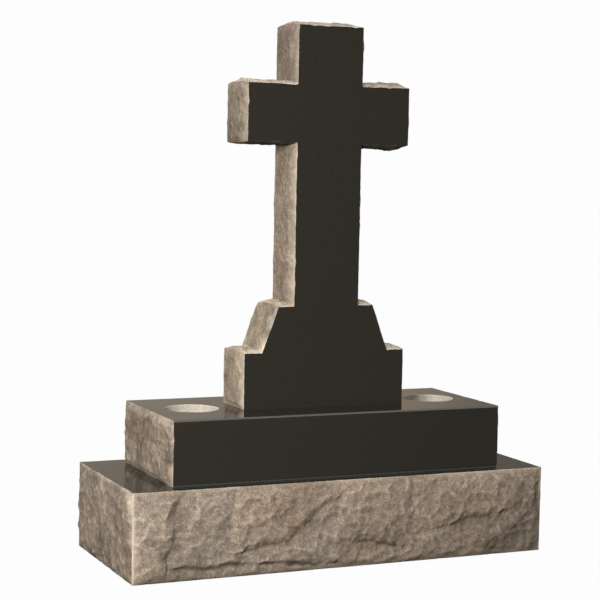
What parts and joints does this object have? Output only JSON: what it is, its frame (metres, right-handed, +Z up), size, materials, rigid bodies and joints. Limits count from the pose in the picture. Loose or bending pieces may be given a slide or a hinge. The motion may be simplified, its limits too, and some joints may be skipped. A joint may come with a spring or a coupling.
{
  "type": "cross headstone",
  "caption": "Upright granite cross headstone with pitched edges and a stepped foot, on a polished base with flower holes and a wider rock-faced sub-base.",
  "frame": {"origin": "centre of the sub-base's underside, on the ground", "axes": "+Z up, the front faces -Y, +X to the viewer's right"},
  "size_m": [0.7752, 0.322, 0.925],
  "materials": {
    "polished_granite": "polished dark granite",
    "pitched_granite": "rock-pitched granite with a polished top"
  },
  "bodies": {
    "root": {"cross": "polished_granite", "base": "polished_granite", "sub_base": "pitched_granite"}
  },
  "joints": []
}
